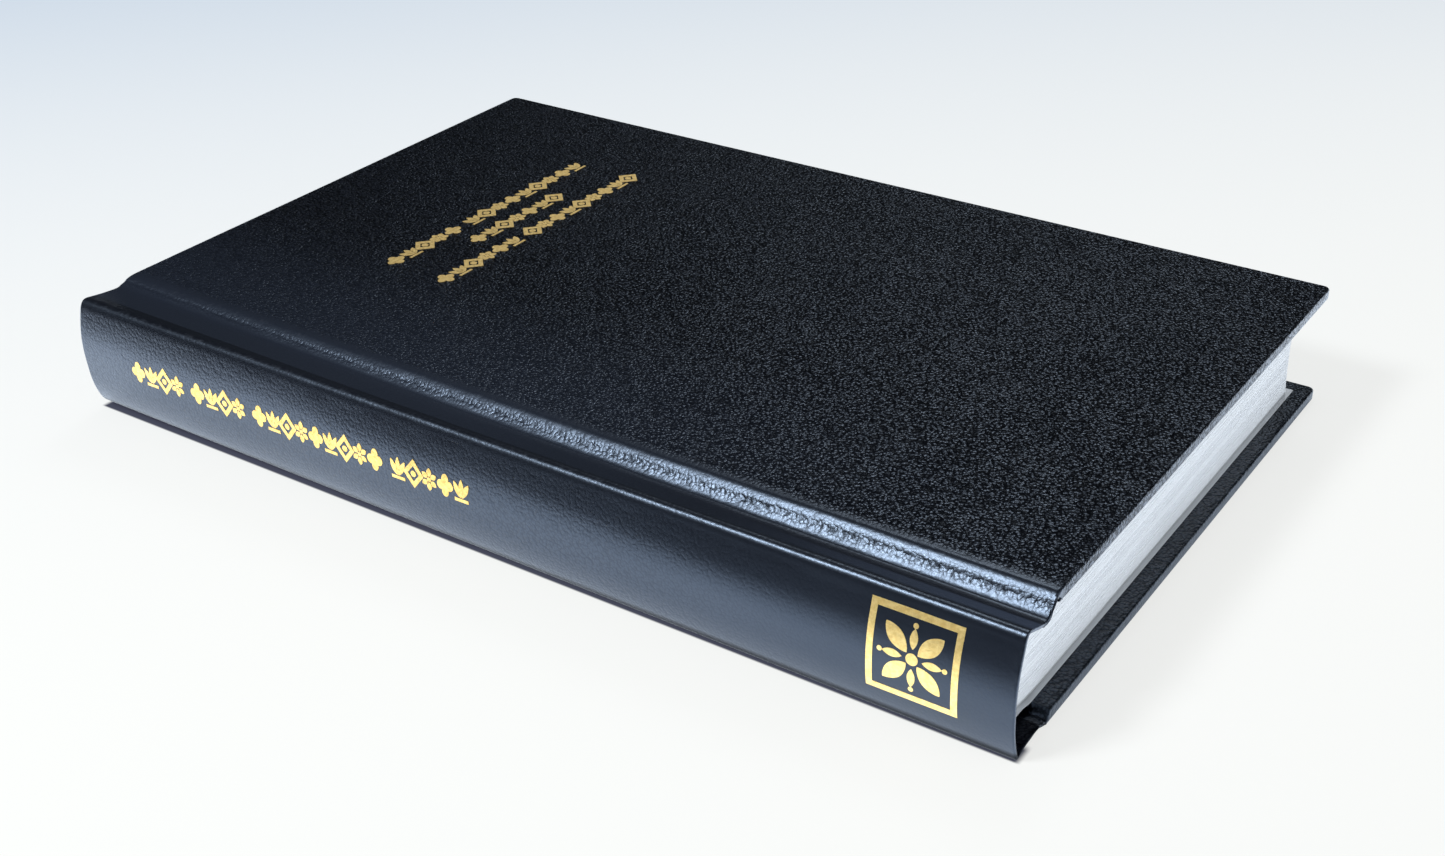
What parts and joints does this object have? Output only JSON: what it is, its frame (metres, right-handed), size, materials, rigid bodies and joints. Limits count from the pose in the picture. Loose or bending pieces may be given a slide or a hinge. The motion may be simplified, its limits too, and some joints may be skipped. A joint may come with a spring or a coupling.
{
  "type": "prayer book",
  "caption": "Case-bound prayer book in black grained leatherette, rounded spine, French grooves, sewn white text block, gold-stamped ornament; both covers open and leaves turn with them.",
  "frame": {"origin": "bottom centre of the closed book's box, on the table under its back cover", "axes": "+X from the spine to the fore-edge, +Y from the tail to the head of the book, +Z from the back cover to the front cover"},
  "size_m": [0.1482, 0.225, 0.0269],
  "materials": {
    "leatherette": "black embossed leatherette with a fine pebble grain, semi-matt",
    "greyboard": "grey binder's board",
    "spine_card": "flexible card",
    "end_paper": "smooth white endpaper",
    "text_paper": "smooth bright white paper, matt",
    "lining_paper": "brown kraft lining paper",
    "mull_cloth": "open-weave starched cotton",
    "linen_thread": "waxed linen thread",
    "band_cloth": "white woven band with a cord core",
    "gold_foil": "hot-stamped gold foil"
  },
  "bodies": {
    "text_block": {"spine_leatherette": "leatherette", "spine_stiffener": "spine_card", "spine_lining_paper": "lining_paper", "spine_mull": "mull_cloth", "head_band": "band_cloth", "tail_band": "band_cloth", "section_01": "text_paper", "section_02": "text_paper", "section_03": "text_paper", "section_04": "text_paper", "section_05": "text_paper", "section_06": "text_paper", "section_07": "text_paper", "section_08": "text_paper", "section_09": "text_paper", "section_10": "text_paper", "section_11": "text_paper", "section_12": "text_paper", "section_13": "text_paper", "section_14": "text_paper", "kettle_stitch_head": "linen_thread", "link_stitch_head": "linen_thread", "link_stitch_middle": "linen_thread", "link_stitch_tail": "linen_thread", "kettle_stitch_tail": "linen_thread"},
    "front_cover": {"front_board": "greyboard", "front_cover_leatherette": "leatherette", "front_mull_flange": "mull_cloth", "front_pastedown": "end_paper"},
    "back_cover": {"back_board": "greyboard", "back_cover_leatherette": "leatherette", "back_mull_flange": "mull_cloth", "back_pastedown": "end_paper"},
    "front_flyleaf": {"front_flyleaf": "end_paper"},
    "front_leaf_1": {"front_leaf_1": "text_paper"},
    "front_leaf_2": {"front_leaf_2": "text_paper"},
    "front_leaf_3": {"front_leaf_3": "text_paper"},
    "front_leaf_4": {"front_leaf_4": "text_paper"},
    "front_leaf_5": {"front_leaf_5": "text_paper"},
    "front_leaf_6": {"front_leaf_6": "text_paper"},
    "back_flyleaf": {"back_flyleaf": "end_paper"},
    "back_leaf_1": {"back_leaf_1": "text_paper"}
  },
  "joints": [
    {"name": "front_cover_hinge", "type": "hinge", "parent": "text_block", "child": "front_cover", "pos_m": [-0.0674, 0, 0.0242], "axis": [0, -1, 0], "range_deg": [0, 179]},
    {"name": "back_cover_hinge", "type": "hinge", "parent": "text_block", "child": "back_cover", "pos_m": [-0.0674, 0, 0.0027], "axis": [0, 1, 0], "range_deg": [0, 179]},
    {"name": "front_flyleaf_turn", "type": "hinge", "parent": "text_block", "child": "front_flyleaf", "pos_m": [-0.0674, 0, 0.0242], "axis": [0, -1, 0], "range_deg": [0, 175.03]},
    {"name": "front_leaf_1_turn", "type": "hinge", "parent": "text_block", "child": "front_leaf_1", "pos_m": [-0.0674, 0, 0.0242], "axis": [0, -1, 0], "range_deg": [0, 168.76]},
    {"name": "front_leaf_2_turn", "type": "hinge", "parent": "text_block", "child": "front_leaf_2", "pos_m": [-0.0674, 0, 0.0242], "axis": [0, -1, 0], "range_deg": [0, 161.6]},
    {"name": "front_leaf_3_turn", "type": "hinge", "parent": "text_block", "child": "front_leaf_3", "pos_m": [-0.0674, 0, 0.0242], "axis": [0, -1, 0], "range_deg": [0, 149.07]},
    {"name": "front_leaf_4_turn", "type": "hinge", "parent": "text_block", "child": "front_leaf_4", "pos_m": [-0.0674, 0, 0.0242], "axis": [0, -1, 0], "range_deg": [0, 30.93]},
    {"name": "front_leaf_5_turn", "type": "hinge", "parent": "text_block", "child": "front_leaf_5", "pos_m": [-0.0674, 0, 0.0242], "axis": [0, -1, 0], "range_deg": [0, 16.61]},
    {"name": "front_leaf_6_turn", "type": "hinge", "parent": "text_block", "child": "front_leaf_6", "pos_m": [-0.0674, 0, 0.0242], "axis": [0, -1, 0], "range_deg": [0, 6.77]},
    {"name": "back_flyleaf_turn", "type": "hinge", "parent": "text_block", "child": "back_flyleaf", "pos_m": [-0.0674, 0, 0.0027], "axis": [0, 1, 0], "range_deg": [0, 179.5]},
    {"name": "back_leaf_1_turn", "type": "hinge", "parent": "text_block", "child": "back_leaf_1", "pos_m": [-0.0674, 0, 0.0027], "axis": [0, 1, 0], "range_deg": [0, 9.45]}
  ],
  "couplings": [
    {"joint": "front_flyleaf_turn", "follows": "front_cover_hinge", "ratio": 0.975},
    {"joint": "front_leaf_1_turn", "follows": "front_cover_hinge", "ratio": 0.94},
    {"joint": "front_leaf_2_turn", "follows": "front_cover_hinge", "ratio": 0.9},
    {"joint": "front_leaf_3_turn", "follows": "front_cover_hinge", "ratio": 0.83},
    {"joint": "front_leaf_4_turn", "follows": "front_cover_hinge", "ratio": 0.17},
    {"joint": "front_leaf_5_turn", "follows": "front_cover_hinge", "ratio": 0.09},
    {"joint": "front_leaf_6_turn", "follows": "front_cover_hinge", "ratio": 0.035},
    {"joint": "back_flyleaf_turn", "follows": "back_cover_hinge", "ratio": 1},
    {"joint": "back_leaf_1_turn", "follows": "back_cover_hinge", "ratio": 0.05}
  ]
}
